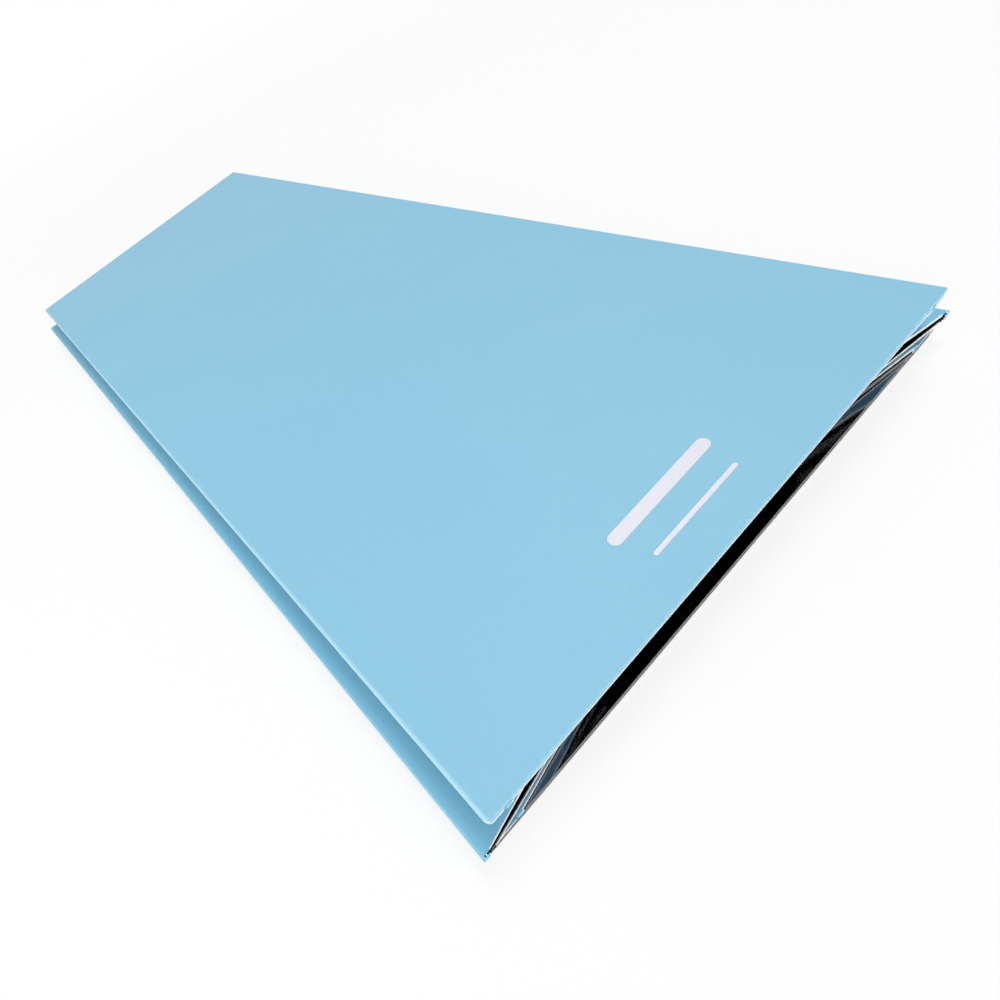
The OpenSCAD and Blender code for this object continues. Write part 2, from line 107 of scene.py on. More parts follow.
room = bpy.data.worlds.new("white_room")
room.use_nodes = True
bpy.context.scene.world = room
tree = room.node_tree
path = add_node(tree, "ShaderNodeLightPath")
way = add_node(tree, "ShaderNodeTexCoord").outputs["Generated"]
_, sideways, rise = add_node(tree, "ShaderNodeSeparateXYZ", {0: way}).outputs
dome = add_node(tree, "ShaderNodeMapRange", {
    "Value": rise, "To Min": horizon_light, "To Max": overhead_light}).outputs[0]
leaning = math_node(tree, "MULTIPLY", dome, math_node(tree, "ADD", sideways, 1.0))
mirrored = add_node(tree, "ShaderNodeMapRange", {
    "Value": rise, "From Min": ceiling_starts, "From Max": ceiling_full, "To Min": 1.0,
    "To Max": ceiling_light}).outputs[0]
glossy = math_node(tree, "MAXIMUM", path.outputs["Is Glossy Ray"],
                   path.outputs["Is Transmission Ray"])
strength = leaning
for ray, value in ((glossy, mirrored), (path.outputs["Is Camera Ray"], 1.0)):
    strength = add_node(tree, "ShaderNodeMix", {0: ray, 2: strength, 3: value}).outputs[0]
tree.nodes["Background"].inputs["Color"].default_value = (1, 1, 1, 1)
tree.links.new(strength, tree.nodes["Background"].inputs["Strength"])

# The floor is a sheet of white paper under soft studio light. It keeps a soft shadow of
# the box and grows whiter to the camera away from it.
floor_half, floor_drop = 3.0, 0.05 * MM
glow_starts, glow_full, glow_near = 0.25, 0.8, 0.8
floor_mesh = bpy.data.meshes.new("floor")
floor_mesh.from_pydata([(floor_half * x, floor_half * y, 0) for x, y in (
    (-1, -1), (1, -1), (1, 1), (-1, 1))], [], [(0, 1, 2, 3)])
floor = bpy.data.objects.new("floor", floor_mesh)
floor.location.z = -floor_drop
bpy.context.scene.collection.objects.link(floor)
paper = bpy.data.materials.new("floor_paper")
paper.use_nodes = True
tree = paper.node_tree
tree.nodes.clear()
path = add_node(tree, "ShaderNodeLightPath")
matt = add_node(tree, "ShaderNodeBsdfDiffuse", {"Color": (0.95, 0.95, 0.95, 1)})
glow = add_node(tree, "ShaderNodeEmission", {"Color": (1, 1, 1, 1), "Strength": 1.0})
point = add_node(tree, "ShaderNodeTexCoord").outputs["Object"]
away = add_node(tree, "ShaderNodeVectorMath", {0: point}, operation="LENGTH").outputs["Value"]
whiter = add_node(tree, "ShaderNodeMapRange", {
    "Value": away, "From Min": glow_starts, "From Max": glow_full, "To Min": glow_near,
    "To Max": 1.0}).outputs[0]
share = math_node(tree, "MULTIPLY", path.outputs["Is Camera Ray"], whiter)
both = add_node(tree, "ShaderNodeMixShader", {0: share, 1: matt.outputs[0], 2: glow.outputs[0]})
add_node(tree, "ShaderNodeOutputMaterial", {"Surface": both.outputs[0]})
floor_mesh.materials.append(paper)


def soft_light(name, place, aim, size, power):
    """A square soft light that faces the point aim."""
    lamp = bpy.data.lights.new(name, "AREA")
    lamp.size, lamp.energy = size, power
    made = bpy.data.objects.new(name, lamp)
    made.location = place
    made.rotation_mode = "QUATERNION"
    made.rotation_quaternion = (Vector(place) - Vector(aim)).to_track_quat("Z", "Y")
    bpy.context.scene.collection.objects.link(made)


box_middle, near_end = (0, 0, 0), (0.1, 0, 0)
for name, place, aim, size, watts in (
    ("key_light", (-0.9, 1.65, 3.7), box_middle, 1.8, 69.0),
    ("close_fill_light", (0.16, -0.36, 0.28), near_end, 0.25, 0.52),
    ("low_fill_light", (0, -1.2, 0.22), box_middle, 0.5, 3.8),
    ("end_fill_light", (1.3, -0.2, 0.1), box_middle, 0.3, 8.0),
):
    soft_light(name, place, aim, size, watts)


# The covering is a thin sky-blue artificial leather with a fine pebbled grain, glued over
# the boards and turned in along their edges. It is cut flush at the ends of the base and
# of the leaves, where its white backing shows.
def effect_group(name, inputs, outputs):
    """A shader node group with these sockets, with its input and output nodes."""
    group = bpy.data.node_groups.new(name, "ShaderNodeTree")
    for socket, value in inputs.items():
        made = group.interface.new_socket(socket, in_out="INPUT", socket_type="NodeSocketFloat")
        made.default_value = value
    for socket in outputs:
        group.interface.new_socket(socket, in_out="OUTPUT", socket_type="NodeSocketFloat")
    return group, group.nodes.new("NodeGroupInput"), group.nodes.new("NodeGroupOutput")


def place_on_piece(tree):
    """The point on the piece in metres, and its three coordinates."""
    point = add_node(tree, "ShaderNodeTexCoord").outputs["Object"]
    return point, add_node(tree, "ShaderNodeSeparateXYZ", {0: point}).outputs


grain_group, given, result = effect_group(
    "pebbled_grain", {"Pebble Size": 0.5 * MM, "Ripple Size": 25 * MM}, ("Height", "Tone"))
point, _ = place_on_piece(grain_group)
fine = math_node(grain_group, "DIVIDE", 1.0, given.outputs["Pebble Size"])
coarse = math_node(grain_group, "MULTIPLY", fine, 0.45)
broad = math_node(grain_group, "DIVIDE", 1.0, given.outputs["Ripple Size"])
pebbles = add_node(grain_group, "ShaderNodeTexVoronoi", {"Vector": point, "Scale": fine,
                   "Smoothness": 0.6}, feature="SMOOTH_F1").outputs["Distance"]
wrinkles = add_node(grain_group, "ShaderNodeTexNoise", {"Vector": point, "Scale": coarse,
                    "Detail": 3.0}).outputs[0]
ripples = add_node(grain_group, "ShaderNodeTexNoise", {"Vector": point, "Scale": broad,
                   "Detail": 2.0}).outputs[0]
grain = math_node(grain_group, "MULTIPLY",
                  math_node(grain_group, "SUBTRACT", wrinkles, pebbles), 0.6)
height = math_node(grain_group, "MULTIPLY_ADD", ripples, 5.0, grain)
grain_group.links.new(height, result.inputs["Height"])
tone = math_node(grain_group, "MULTIPLY", math_node(grain_group, "ADD", wrinkles, ripples), 0.5)
grain_group.links.new(tone, result.inputs["Tone"])

# A cut end slants back from the crease at the width Start. Its edge is frayed, and the
# roll of the crease, in to the depth Roll, stays blue.
cut_group, given, result = effect_group("cut_end", {
    "Half Length": 130 * MM, "Start": 0.0, "Slant": 0.0, "Fray": 0.12 * MM, "Roll": -1.0},
    ("Mask",))
point, (x, y, _) = place_on_piece(cut_group)
past = math_node(cut_group, "SUBTRACT", given.outputs["Start"],
                 math_node(cut_group, "ABSOLUTE", y))
lost = math_node(cut_group, "MULTIPLY", given.outputs["Slant"],
                 math_node(cut_group, "MAXIMUM", past, 0.0))
threads = add_node(cut_group, "ShaderNodeTexNoise", {"Vector": point, "Scale": 2500.0})
torn = math_node(cut_group, "MULTIPLY", given.outputs["Fray"],
                 math_node(cut_group, "MULTIPLY_ADD", threads.outputs[0], 1.2, 0.4))
edge = math_node(cut_group, "SUBTRACT", given.outputs["Half Length"],
                 math_node(cut_group, "ADD", lost, torn))
beyond = math_node(cut_group, "SUBTRACT", math_node(cut_group, "ABSOLUTE", x), edge)
mask = add_node(cut_group, "ShaderNodeMapRange", {"Value": beyond, "From Max": 0.04 * MM})
flat = math_node(cut_group, "GREATER_THAN", past, given.outputs["Roll"])
cut_group.links.new(math_node(cut_group, "MULTIPLY", mask.outputs[0], flat),
                    result.inputs["Mask"])


def slant_length(tree, first, second):
    """Length of the slant over two lengths at right angles."""
    return math_node(tree, "SQRT", math_node(
        tree, "ADD", math_node(tree, "MULTIPLY", first, first),
        math_node(tree, "MULTIPLY", second, second)))


# Corners are rubbed through to tan within about the length Reach.
rub_group, given, result = effect_group("rubbed_corner", {
    "Half Length": 130 * MM, "Half Width": 52 * MM, "Reach": 0.65 * MM}, ("Mask",))
point, (x, y, _) = place_on_piece(rub_group)
from_end = math_node(rub_group, "SUBTRACT", given.outputs["Half Length"],
                     math_node(rub_group, "ABSOLUTE", x))
from_side = math_node(rub_group, "SUBTRACT", given.outputs["Half Width"],
                      math_node(rub_group, "ABSOLUTE", y))
scuffs = add_node(rub_group, "ShaderNodeTexNoise", {
    "Vector": point, "Scale": 1600.0, "Detail": 4.0}).outputs[0]
limit = math_node(rub_group, "MULTIPLY", given.outputs["Reach"],
                  math_node(rub_group, "MULTIPLY_ADD", scuffs, 2.0, -0.1))
inside = math_node(rub_group, "SUBTRACT", limit, slant_length(rub_group, from_end, from_side))
mask = add_node(rub_group, "ShaderNodeMapRange", {"Value": inside, "From Max": 0.1 * MM})
rub_group.links.new(mask.outputs[0], result.inputs["Mask"])

# Painted highlight: the leather is painted paler along a long edge, over the width Band, where the
# rounded edge catches the light.
highlight_group, given, result = effect_group(
    "painted_edge_highlight", {"Half Width": 52 * MM, "Band": 0.9 * MM}, ("Mask",))
_, (_, y, _) = place_on_piece(highlight_group)
depth = math_node(highlight_group, "SUBTRACT", given.outputs["Half Width"],
                  math_node(highlight_group, "ABSOLUTE", y))
mask = add_node(highlight_group, "ShaderNodeMapRange", {
    "Value": depth, "From Max": given.outputs["Band"], "To Min": 1.0, "To Max": 0.0},
    interpolation_type="SMOOTHSTEP")
highlight_group.links.new(mask.outputs[0], result.inputs["Mask"])

# At a cut end the board shows inside the leather that is wrapped round the long edge.
core_group, given, result = effect_group("edge_core", {
    "Half Width": 52 * MM, "Edge Radius": 0.95 * MM, "Covering": 0.5 * MM}, ("Mask",))
_, (_, y, z) = place_on_piece(core_group)
edge_radius = given.outputs["Edge Radius"]
axis_y = math_node(core_group, "SUBTRACT", given.outputs["Half Width"], edge_radius)
aside = math_node(core_group, "SUBTRACT", math_node(core_group, "ABSOLUTE", y), axis_y)
above = math_node(core_group, "SUBTRACT", z, edge_radius)
board_radius = math_node(core_group, "SUBTRACT", edge_radius, given.outputs["Covering"])
mask = math_node(core_group, "LESS_THAN", slant_length(core_group, aside, above), board_radius)
core_group.links.new(mask, result.inputs["Mask"])


def plain_material(name, colour, roughness, metallic=0.0):
    """A material with its Principled shader, set for base colour, gloss and metal."""
    made = bpy.data.materials.new(name)
    made.use_nodes = True
    shader = made.node_tree.nodes["Principled BSDF"]
    shader.inputs["Base Color"].default_value = (*colour, 1)
    shader.inputs["Roughness"].default_value = roughness
    shader.inputs["Metallic"].default_value = metallic
    return made, made.node_tree, shader


def use_group(tree, group, **inputs):
    """Places an effect in a material with its own values."""
    made = tree.nodes.new("ShaderNodeGroup")
    made.node_tree = group
    for name, value in inputs.items():
        made.inputs[name.replace("_", " ")].default_value = value
    return made.outputs


def mix_colour(tree, share, first, second):
    """Blends two colours, each three numbers or a socket, by the share socket."""
    made = tree.nodes.new("ShaderNodeMix")
    made.data_type = "RGBA"
    tree.links.new(share, made.inputs["Factor"])
    for socket, value in ((made.inputs[6], first), (made.inputs[7], second)):
        if isinstance(value, bpy.types.NodeSocket):
            tree.links.new(value, socket)
        else:
            socket.default_value = (*value, 1)
    return made.outputs[2]


def spread(tree, value, low, high, socket):
    """Feeds a shader socket with a noise value, stretched to run from low to high."""
    made = add_node(tree, "ShaderNodeMapRange", {
        "Value": value, "From Min": 0.3, "From Max": 0.7, "To Min": low, "To Max": high})
    tree.links.new(made.outputs[0], socket)


def bump(tree, shader, height, depth):
    """Raises the surface by the height socket, by up to the depth."""
    made = add_node(tree, "ShaderNodeBump", {"Height": height, "Distance": depth})
    tree.links.new(made.outputs[0], shader.inputs["Normal"])


panel_blues = (0.268, 0.575, 0.765), (0.292, 0.600, 0.785)
# The leaves' blues are a deeper, more teal copy of the panels' blues: painted shade for the shadow
# under the top panel.
shaded_leaf_blues = (0.225, 0.565, 0.765), (0.245, 0.590, 0.785)
# Paler blue of the painted highlight along the panels' long edges.
highlight_blue = (0.49, 0.77, 0.91)
backing_white = (0.86, 0.85, 0.83)
worn_tan = (0.74, 0.66, 0.60)
board_grey = (0.16, 0.155, 0.15)


def leather(name, blues):
    """The blue covering, with its shader and its colour, mottled between two blues."""
    made, tree, shader = plain_material(name, blues[1], 0.5)
    shader.inputs["Specular IOR Level"].default_value = 0.25
    grain = use_group(tree, grain_group)
    spread(tree, grain["Tone"], 0.56, 0.44, shader.inputs["Roughness"])
    bump(tree, shader, grain["Height"], 0.02 * MM)
    return made, tree, shader, mix_colour(tree, grain["Tone"], *blues)


def panel_leather(name, half_width, cut_below):
    """Covering of a panel, with a painted highlight along its long edges.

    Its ends show the white backing, and the board inside it, below the height cut_below."""
    made, tree, shader, blue = leather(name, panel_blues)
    # Painted highlight: the blue pales towards the long edges, where they catch the light.
    rim_highlight = use_group(tree, highlight_group, Half_Width=half_width)["Mask"]
    blue = mix_colour(tree, rim_highlight, blue, highlight_blue)
    _, (_, _, z) = place_on_piece(tree)
    cut = math_node(tree, "MULTIPLY", math_node(tree, "LESS_THAN", z, cut_below),
                    use_group(tree, cut_group)["Mask"])
    core = use_group(tree, core_group, Half_Width=half_width)["Mask"]
    end_colour = mix_colour(tree, core, backing_white, board_grey)
    colour = mix_colour(tree, cut, blue, end_colour)
    rubbed = use_group(tree, rub_group, Half_Width=half_width)["Mask"]
    tree.links.new(mix_colour(tree, rubbed, colour, worn_tan), shader.inputs["Base Color"])
    return made


def finish(material, *names):
    """Gives the material to these CAD nodes."""
    for name in names:
        nodes[name].data.materials.clear()
        nodes[name].data.materials.append(material)


# The base's covering is cut at every height, and the top's only along its lower edge.
any_height = 1.0
lower_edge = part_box("top_lining")[1].z + 0.15 * MM
base_half, top_half = (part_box(name)[1].y for name in ("base_skin", "top_skin"))
finish(panel_leather("base_covering", base_half, any_height), "base_skin")
finish(panel_leather("top_covering", top_half, lower_edge), "top_skin")

# Board core: stiff grey pasteboard in the panels and thin white card in the leaves, whose
# pressed layers of fibre show at the cut ends.
fibre_group, given, result = effect_group(
    "paper_fibre", {"Layer Height": 0.11 * MM}, ("Fibre",))
_, (x, y, z) = place_on_piece(fibre_group)
fibres_per_metre = 300.0
squeezed = add_node(fibre_group, "ShaderNodeCombineXYZ", {
    0: math_node(fibre_group, "MULTIPLY", x, fibres_per_metre),
    1: math_node(fibre_group, "MULTIPLY", y, fibres_per_metre),
    2: math_node(fibre_group, "DIVIDE", z, given.outputs["Layer Height"])})
fibre = add_node(fibre_group, "ShaderNodeTexNoise", {
    "Vector": squeezed.outputs[0], "Scale": 1.0, "Detail": 4.0})
fibre_group.links.new(fibre.outputs[0], result.inputs["Fibre"])


def paperboard(name, dark, light, layer_height):
    """Board whose pressed layers differ a little in colour."""
    made, tree, shader = plain_material(name, light, 0.85)
    fibre = use_group(tree, fibre_group, Layer_Height=layer_height)["Fibre"]
    tree.links.new(mix_colour(tree, fibre, dark, light), shader.inputs["Base Color"])
    bump(tree, shader, fibre, 0.02 * MM)
    return made


finish(paperboard("pasteboard", (0.10, 0.10, 0.10), (0.22, 0.21, 0.20), 0.11 * MM),
       "base_board", "top_board")
white_card = paperboard("white_card", (0.72, 0.71, 0.68), (0.88, 0.87, 0.85), 0.06 * MM)


# Lining: a dark mirror film over the inside of the panels and leaves, which throws the
# ultraviolet light back. It is never quite flat, so what it mirrors wavers a little.
film_end = 129.97 * MM


def mirror_film(name, end_colour=None):
    """The film, whose cut ends, past film_end, are matt where end_colour is given."""
    made, tree, shader = plain_material(name, (0.27, 0.26, 0.28), 0.08, 1.0)
    point, (x, _, _) = place_on_piece(tree)
    waves, smears = (add_node(tree, "ShaderNodeTexNoise", {
        "Vector": point, "Scale": scale, "Detail": detail}).outputs[0]
        for scale, detail in ((90.0, 2.0), (260.0, 5.0)))
    film = mix_colour(tree, smears, (0.24, 0.23, 0.25), (0.30, 0.29, 0.31))
    spread(tree, smears, 0.05, 0.14, shader.inputs["Roughness"])
    bump(tree, shader, waves, 0.12 * MM)
    if end_colour:
        at_end = math_node(tree, "GREATER_THAN", math_node(tree, "ABSOLUTE", x), film_end)
        film = mix_colour(tree, at_end, film, end_colour)
        tree.links.new(math_node(tree, "SUBTRACT", 1.0, at_end), shader.inputs["Metallic"])
    tree.links.new(film, shader.inputs["Base Color"])
    return made


film = mirror_film("mirror_film")
finish(film, "base_lining")
finish(mirror_film("mirror_film_pale_edge", backing_white), "top_lining")

# Pleated walls: four narrow leaves a side, each a slip of card with the covering on its
# outer face and the film on its inner face. Leaf 4 stands on the base and leaf 1 hangs from
# the top. Their ends are cut back from the outer towards the inner creases.
crease = {j["name"]: Vector(j["pos_m"]) for j in frame["joints"] if "pos_m" in j}
panel_half, lower_half, upper_half = 130.0 * MM, 130.8 * MM, 130.6 * MM
low_half, high_half = 126.0 * MM, 125.4 * MM
roll_depth = 0.5 * MM
leaf_creases = {
    4: ("wall_fold", "left_low_crease", (panel_half, low_half)),
    3: ("left_outer_crease", "left_low_crease", (lower_half, low_half)),
    2: ("left_outer_crease", "left_high_crease", (upper_half, high_half)),
    1: ("left_top_crease", "left_high_crease", (panel_half, high_half)),
}
for number, (outer, inner, ends) in leaf_creases.items():
    start = abs(crease[outer].y)
    slant = (ends[0] - ends[1]) / (start - abs(crease[inner].y))
    # Painted shade: the leaves' covering takes the deeper copy of the panels' blues.
    made, tree, shader, blue = leather(f"leaf_{number}_covering", shaded_leaf_blues)
    cut = use_group(tree, cut_group, Half_Length=ends[0], Start=start, Roll=roll_depth,
                    Slant=slant)["Mask"]
    tree.links.new(mix_colour(tree, cut, blue, backing_white), shader.inputs["Base Color"])
    for side in ("left", "right"):
        finish(made, f"{side}_leaf_{number}_skin")
        finish(white_card, f"{side}_leaf_{number}_board")
        finish(film, f"{side}_leaf_{number}_lining")


# Crease strips: the covering and the film run on round each crease. They are thin strips
# laid over the fold rolls, so no gap shows between two leaves, folded or open.
fold_radius, half_gap = 0.7 * MM, 0.1 * MM
strip_lift, strip_t, strip_back = 0.005 * MM, 0.02 * MM, 0.08 * MM
arc_steps = 12
sharp_angle = math.radians(30)
# Painted shade: the crease covering takes the leaves' deeper blues.
crease_blue, tree, shader, blue = leather("crease_covering", shaded_leaf_blues)
tree.links.new(blue, shader.inputs["Base Color"])


def join_rings(shell, first, second):
    """Adds and returns the faces from one closed ring of corners to the next."""
    count = len(first)
    return [shell.faces.new((first[i], first[(i + 1) % count], second[(i + 1) % count], second[i]))
            for i in range(count)]


def place_mesh(name, shell, *materials):
    """Turns a finished shell into a piece of the scene with these materials."""
    mesh = bpy.data.meshes.new(name)
    shell.to_mesh(mesh)
    shell.free()
    for material in materials:
        mesh.materials.append(material)
    made = bpy.data.objects.new(name, mesh)
    bpy.context.scene.collection.objects.link(made)
    return made


def sweep_profile(name, profile, half_length, material):
    """A closed profile of (y, z) points drawn out along the length of the box."""
    shell = bmesh.new()
    ends = [[shell.verts.new((x, y, z)) for y, z in profile] for x in (-half_length, half_length)]
    join_rings(shell, *ends)
    shell.faces.new(ends[0][::-1])
    shell.faces.new(ends[1])
    bmesh.ops.recalc_face_normals(shell, faces=shell.faces)
    for face in shell.faces:
        face.smooth = len(face.verts) == 4
    for edge in shell.edges:
        edge.smooth = edge.calc_face_angle(0) < sharp_angle
    return place_mesh(name, shell, material)


def crease_strip(name, body, centre, lap, first, last, half_length, material):
    """A strip over part of a fold roll, from the first to the last angle in degrees.

    Angles start at the direction to the middle of the box and turn up. A lap of (length,
    slope, inside) runs on from the first angle, flat on the leaf or panel. Where inside is
    set, that face meets the roll at an inside corner, half a gap from the crease axis."""
    side = -1 if centre.y < 0 else 1
    way = 1 if first > last else -1
    rims = []
    for radius in (fold_radius + strip_lift, fold_radius + strip_t):
        start = first
        if lap and lap[2]:
            rise = half_gap - (radius - fold_radius)
            start = lap[1] + way * math.degrees(math.asin(rise / radius))
            start += 180 if lap[0] < 0 else 0
        rim = []
        for step in range(arc_steps + 1):
            angle = math.radians(start + (last - start) * step / arc_steps)
            rim.append((radius * math.cos(angle), radius * math.sin(angle)))
        if lap:
            length, slope = lap[0], math.radians(lap[1])
            inward, rise = rim[0]
            rim.insert(0, (inward + length * math.cos(slope), rise + length * math.sin(slope)))
        rims.append(rim)
    profile = [(side * (abs(centre.y) - inward), centre.z + rise)
               for inward, rise in rims[0] + rims[1][::-1]]
    made = sweep_profile(name, profile, half_length, material)
    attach(made, body)


outer, low, high = (crease[f"left_{name}_crease"] for name in ("outer", "low", "high"))
foot, head = crease["wall_fold"], crease["left_top_crease"]
leaf_pitch, short_leaf, long_leaf = 0.8 * MM, 22 * MM, 28.5 * MM


def slope_between(outer_end, inner_end, width):
    """Slope of a leaf from its two creases; the creases lie a leaf and a gap apart."""
    run, rise = abs(outer_end.y) - abs(inner_end.y), inner_end.z - outer_end.z
    offset = math.copysign(math.atan2(leaf_pitch, width), rise)
    return math.degrees(math.atan2(rise, run) - offset)


slope_1 = slope_between(head, high, short_leaf)
slope_2 = slope_between(outer, high, long_leaf)
slope_3 = slope_between(outer, low, long_leaf)
leaf_lap, film_lap, margin_lap = 1.0 * MM, 1.2 * MM, 0.9 * MM
# Each row: name, leaf or panel that carries it, crease, lap, first and last angle, half
# length, and whether it is covering. Film is the other kind.
for side, sign in (("left", 1), ("right", -1)):
    at = {name: Vector((0, sign * point.y, point.z)) for name, point in (
        ("outer", outer), ("low", low), ("high", high), ("foot", foot), ("head", head))}
    for name, rider, centre, lap, first, last, half, blue in (
        ("outer_covering", "leaf_2", "outer", (leaf_lap, slope_2, False),
         90 + slope_2, 122, upper_half, True),
        ("outer_film", "leaf_3", "outer", (leaf_lap, slope_3, True), -8, 112, lower_half, False),
        ("outer_film_above", "leaf_2", "outer", None, -8, -37.5, upper_half, False),
        ("low_film", "leaf_3", "low", (-leaf_lap, slope_3, False),
         90 + slope_3, 58, low_half, False),
        ("low_covering", "leaf_4", "low", (-leaf_lap, 0, True), 188, 66, low_half, True),
        ("low_covering_above", "leaf_3", "low", None, 189, 215.5, low_half, True),
        ("high_film", "leaf_1", "high", (-leaf_lap, slope_1, False),
         90 + slope_1, 58, high_half, False),
        ("high_covering", "leaf_2", "high", (-leaf_lap, slope_2, True), 188, 66, high_half, True),
        ("high_covering_above", "leaf_1", "high", None, 193, 215.5, high_half, True),
        ("foot_film", "leaf_4", "foot", None, -10, -69.5, panel_half, False),
        ("foot_film_below", "base", "foot", (film_lap, 0, True), -8, 4.5, panel_half, False),
        ("head_film", "leaf_1", "head", None, 10, 69.5, panel_half, False),
        ("head_film_above", "top", "head", (film_lap, 0, True), 8, -4.5, panel_half, False),
        ("foot_covering", "base", "foot", (-margin_lap, 0, True), 188, 167, panel_half, True),
        ("head_covering", "top", "head", (-margin_lap, 0, True), 172, 189, panel_half, True),
    ):
        body = f"{side}_{rider}" if rider.startswith("leaf") else rider
        material, slot = (crease_blue, "skin") if blue else (film, "lining")
        crease_strip(f"{side}_crease_{name}", body, at[centre], lap, first, last,
                     half - strip_back, material)

# Printed mark: two plain off-white stripes with round ends, screen-printed on the top
# covering along its open end, where the ink stands a hair above the grain.
speck_group, given, result = effect_group(
    "fine_specks", {"Speck Size": 0.3 * MM}, ("Speck",))
point, _ = place_on_piece(speck_group)
fineness = math_node(speck_group, "DIVIDE", 1.0, given.outputs["Speck Size"])
specks = add_node(speck_group, "ShaderNodeTexNoise", {
    "Vector": point, "Scale": fineness, "Detail": 4.0})
speck_group.links.new(specks.outputs[0], result.inputs["Speck"])


def speckled(name, dark, light, rough, speck, depth, metallic=0.0):
    """A material whose colour and gloss vary over specks of one size, raised by depth."""
    made, tree, shader = plain_material(name, light, rough, metallic)
    tone = use_group(tree, speck_group, Speck_Size=speck)["Speck"]
    tree.links.new(mix_colour(tree, tone, dark, light), shader.inputs["Base Color"])
    spread(tree, tone, rough * 1.15, rough * 0.85, shader.inputs["Roughness"])
    bump(tree, shader, tone, depth)
    return made


ink = speckled("white_ink", (0.72, 0.72, 0.82), (0.80, 0.80, 0.89), 0.42, 0.35 * MM, 0.02 * MM)
top_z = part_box("top_skin")[1].z
ink_t, mark_y, round_steps = 0.03 * MM, -2.0, 16
for name, middle_x, length, width in (("thick", 118.3, 23.0, 2.2), ("thin", 123.9, 19.0, 0.7)):
    outline = []
    for way in (1, -1):
        for step in range(round_steps + 1):
            angle = math.pi * step / round_steps
            x = middle_x + way * width / 2 * math.cos(angle)
            y = mark_y + way * ((length - width) / 2 + width / 2 * math.sin(angle))
            outline.append((x * MM, y * MM))
    shell = bmesh.new()
    rims = [[shell.verts.new((x, y, z)) for x, y in outline] for z in (top_z, top_z + ink_t)]
    join_rings(shell, *rims)
    for rim in rims:
        shell.faces.new(rim)
    bmesh.ops.recalc_face_normals(shell, faces=shell.faces)
    stripe = place_mesh(f"printed_stripe_{name}", shell, ink)
    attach(stripe, "top")

# Closing magnets: nickel-plated discs pressed into the boards, hidden by the lining.
nickel = speckled("nickel_plate", (0.62, 0.60, 0.57), (0.70, 0.68, 0.65), 0.25, 0.2 * MM,
                  0.004 * MM, 1.0)
finish(nickel, "base_magnets", "top_magnets")

# Control unit: a black moulded tray screwed to a back plate that is bonded to the lining
# at the closed end. Its edges are slightly rounded by the mould and its faces finely etched.
etched = speckled("etched_black_plastic", (0.022, 0.022, 0.024), (0.034, 0.034, 0.037), 0.48,
                  0.12 * MM, 0.012 * MM)


def round_edges(name, width):
    """Rounds the sharp edges of a CAD piece as a mould or a press leaves them."""
    rounding = nodes[name].modifiers.new("rounded_edges", "BEVEL")
    rounding.width, rounding.segments = width, 2
    rounding.limit_method, rounding.angle_limit = "ANGLE", math.radians(40)


finish(etched, "unit_housing", "unit_back_plate")
steel = speckled("plain_steel", (0.50, 0.50, 0.51), (0.60, 0.60, 0.61), 0.32, 0.15 * MM,
                 0.005 * MM, 1.0)
finish(steel, "unit_screws", "charging_socket")
for name, width in (("unit_housing", 0.15), ("unit_back_plate", 0.1), ("unit_screws", 0.06)):
    round_edges(name, width * MM)

# Electronics in the tray: a green circuit board with its chip, sensor, push switch and
# small lamp, and a foil pouch battery soldered to it by two red wires.
mask_green, tree, shader = plain_material("solder_mask_green", (0.03, 0.16, 0.07), 0.35)
point, _ = place_on_piece(tree)
from_gap = add_node(tree, "ShaderNodeTexVoronoi", {"Vector": point, "Scale": 700.0},
                    feature="DISTANCE_TO_EDGE", distance="EUCLIDEAN").outputs["Distance"]
track = math_node(tree, "LESS_THAN", from_gap, 0.08)
tree.links.new(mix_colour(tree, track, (0.03, 0.16, 0.07), (0.06, 0.27, 0.11)),
               shader.inputs["Base Color"])
bump(tree, shader, track, 0.02 * MM)
finish(mask_green, "circuit_board")
finish(speckled("black_package", (0.018, 0.018, 0.019), (0.028, 0.028, 0.03), 0.5, 0.08 * MM,
                0.008 * MM), "control_chip", "fold_sensor", "power_switch")
finish(speckled("pouch_foil", (0.62, 0.63, 0.65), (0.76, 0.77, 0.79), 0.3, 2.5 * MM, 0.15 * MM,
                1.0), "battery")
finish(speckled("red_insulation", (0.45, 0.03, 0.03), (0.58, 0.05, 0.04), 0.4, 0.4 * MM,
                0.01 * MM), "battery_leads")
ceramic = speckled("white_ceramic", (0.78, 0.77, 0.72), (0.88, 0.87, 0.83), 0.45, 0.1 * MM,
                   0.004 * MM)
finish(ceramic, "indicator_led")
round_edges("battery", 0.5 * MM)


# Power button and indicator on the end wall: a satin grey key with round ends, and a
# clear light pipe pressed into its hole.
def clear_glass(name, colour, roughness):
    """Clear glass or plastic with a faint waviness."""
    made, tree, shader = plain_material(name, colour, roughness)
    shader.inputs["Transmission Weight"].default_value = 1.0
    shader.inputs["IOR"].default_value = 1.46
    tone = use_group(tree, speck_group, Speck_Size=3 * MM)["Speck"]
    bump(tree, shader, tone, 0.02 * MM)
    return made


finish(speckled("satin_grey_plastic", (0.50, 0.53, 0.56), (0.56, 0.59, 0.62), 0.38, 0.15 * MM,
                0.008 * MM), "power_button")
finish(clear_glass("clear_light_pipe", (0.97, 0.98, 1.0), 0.08), "indicator_lens")
round_edges("power_button", 0.12 * MM)

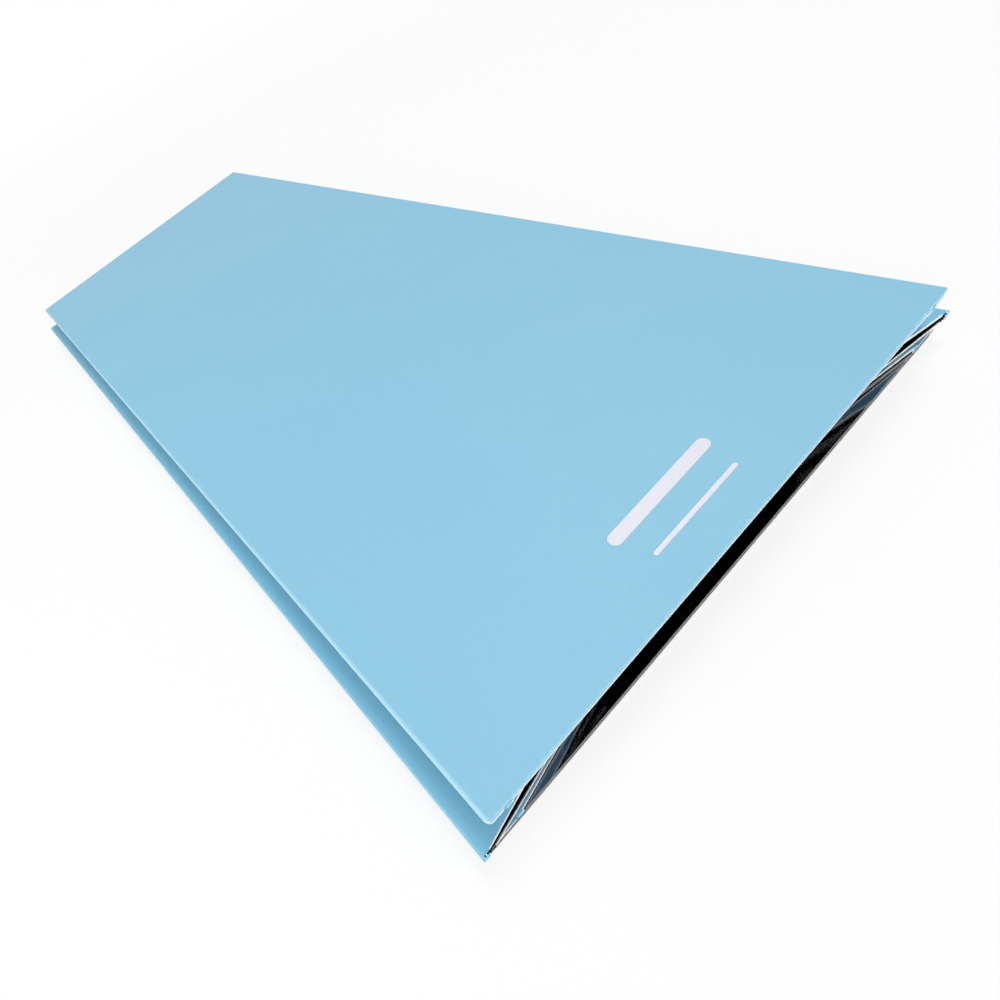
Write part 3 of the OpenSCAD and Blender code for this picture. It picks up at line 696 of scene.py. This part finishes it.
# Lamp strip: a black frame bonded to the lining holds a white-coated aluminium board with
# six ultraviolet lamps behind a clear window, fed by a flat amber cable.
finish(etched, "lamp_frame")
finish(speckled("white_solder_mask", (0.76, 0.77, 0.77), (0.86, 0.87, 0.87), 0.4, 0.6 * MM,
                0.01 * MM), "lamp_board")
finish(clear_glass("quartz_window", (0.95, 0.96, 1.0), 0.03), "lamp_window")
round_edges("lamp_frame", 0.12 * MM)
amber, tree, shader = plain_material("amber_flat_cable", (0.50, 0.22, 0.04), 0.3)
wires_per_metre, wire_share = 1000.0, 0.55
_, (_, y, _) = place_on_piece(tree)
across = math_node(tree, "FRACT", math_node(tree, "MULTIPLY", y, wires_per_metre))
wires = math_node(tree, "LESS_THAN", across, wire_share)
tree.links.new(mix_colour(tree, wires, (0.55, 0.27, 0.05), (0.62, 0.30, 0.12)),
               shader.inputs["Base Color"])
bump(tree, shader, wires, 0.03 * MM)
finish(amber, "lamp_cable")

# Each lamp is a square ceramic package, cut at one corner to mark its polarity, with a gilt
# pad and a quartz dome on the side that faces down.
lamps_low, lamps_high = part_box("uv_lamps")
lamp_count, lamp_side, lamp_tall = 6, lamps_high.y - lamps_low.y, lamps_high.z - lamps_low.z
lamp_pitch = (lamps_high.x - lamps_low.x - lamp_side) / (lamp_count - 1)
edge, corner_cut, package_share = lamp_side / 2, 0.35 * MM, 0.5
package_rim = [(edge - corner_cut, edge), (-edge, edge), (-edge, -edge), (edge, -edge),
               (edge, edge - corner_cut)]
seat = lamps_high.z - package_share * lamp_tall
pad_radius, pad_low, pad_high = 1.45 * MM, seat - 0.06 * MM, seat + 0.01 * MM
dome_radius, dome_tall = 1.3 * MM, lamp_tall * (1 - package_share) - 0.06 * MM
around, dome_rings = 24, 6
gilt = speckled("gilt_pads", (0.75, 0.52, 0.22), (0.86, 0.63, 0.30), 0.3, 0.1 * MM,
                0.004 * MM, 1.0)
quartz = clear_glass("quartz_dome", (0.97, 0.97, 1.0), 0.03)


def circle(radius):
    """The corners of a circle."""
    return [(radius * math.cos(math.tau * i / around), radius * math.sin(math.tau * i / around))
            for i in range(around)]


def add_ring(shell, corners, middle_x, z):
    """Adds the corners round the middle of a lamp at one height."""
    return [shell.verts.new((middle_x + u, v, z)) for u, v in corners]


packages, domes = bmesh.new(), bmesh.new()
for number in range(lamp_count):
    middle_x = lamps_low.x + lamp_side / 2 + number * lamp_pitch
    for corners, low_z, high_z, slot_number in (
        (package_rim, seat, lamps_high.z, 0),
        (circle(pad_radius), pad_low, pad_high, 1),
    ):
        rings = [add_ring(packages, corners, middle_x, z) for z in (low_z, high_z)]
        for face in join_rings(packages, *rings) + [packages.faces.new(ring) for ring in rings]:
            face.material_index = slot_number
    dome_tip = domes.verts.new((middle_x, 0, lamps_low.z))
    last_ring = None
    for step in range(1, dome_rings + 1):
        angle = math.radians(90 * step / dome_rings)
        ring = add_ring(domes, circle(dome_radius * math.sin(angle)), middle_x,
                        pad_low - dome_tall * math.cos(angle))
        if last_ring:
            faces = join_rings(domes, last_ring, ring)
        else:
            faces = [domes.faces.new((dome_tip, ring[(i + 1) % around], ring[i]))
                     for i in range(around)]
        for face in faces:
            face.smooth = True
        last_ring = ring
    domes.faces.new(last_ring)
for name, shell, materials in (("lamp_packages", packages, (ceramic, gilt)),
                               ("lamp_domes", domes, (quartz,))):
    bmesh.ops.recalc_face_normals(shell, faces=shell.faces)
    made = place_mesh(name, shell, *materials)
    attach(made, "top")
    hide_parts("uv_lamps")
